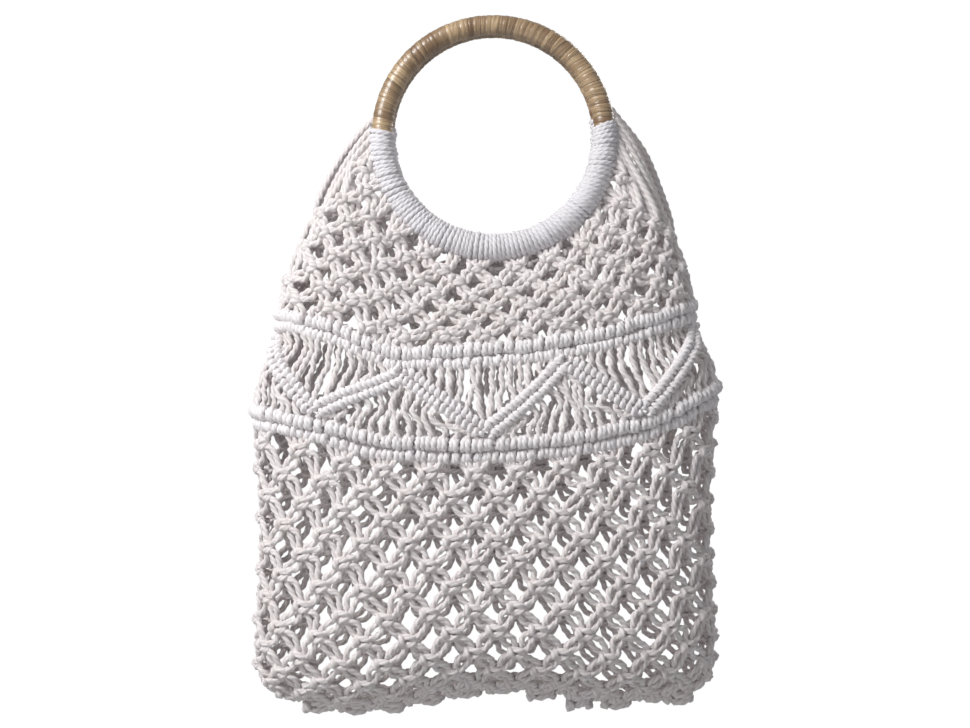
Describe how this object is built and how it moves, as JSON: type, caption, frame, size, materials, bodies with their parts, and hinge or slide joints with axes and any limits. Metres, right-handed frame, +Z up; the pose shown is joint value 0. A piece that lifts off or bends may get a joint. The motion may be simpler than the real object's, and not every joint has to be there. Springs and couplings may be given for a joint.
{
  "type": "knotted string shopping bag with two ring handles",
  "caption": "Knotted cotton string bag, hung from two cane-wound ring handles, with an open net cup, a zigzag band and open sides by the rings.",
  "frame": {"origin": "where the hand grips: the top of both ring openings, midway between the two rings", "axes": "+Z up along the hanging bag, +X to the right seen from the front, the front net faces -Y"},
  "size_m": [0.3152, 0.1102, 0.4658],
  "materials": {
    "rattan": "glossy peeled cane strip wound round a hoop",
    "cotton_cord": "matt off-white three-ply twisted cotton cord",
    "cotton_wrap": "matt white cotton cord wound tight"
  },
  "bodies": {
    "root": {"ring_front": "rattan", "ring_back": "rattan", "wrap_front": "cotton_wrap", "wrap_back": "cotton_wrap", "upper_net_front": "cotton_cord", "upper_net_back": "cotton_cord", "upper_rib_a": "cotton_cord", "upper_rib_b": "cotton_cord", "zigzag_panel": "cotton_cord", "lower_rib_a": "cotton_cord", "lower_rib_b": "cotton_cord", "lower_net": "cotton_cord"}
  },
  "joints": []
}
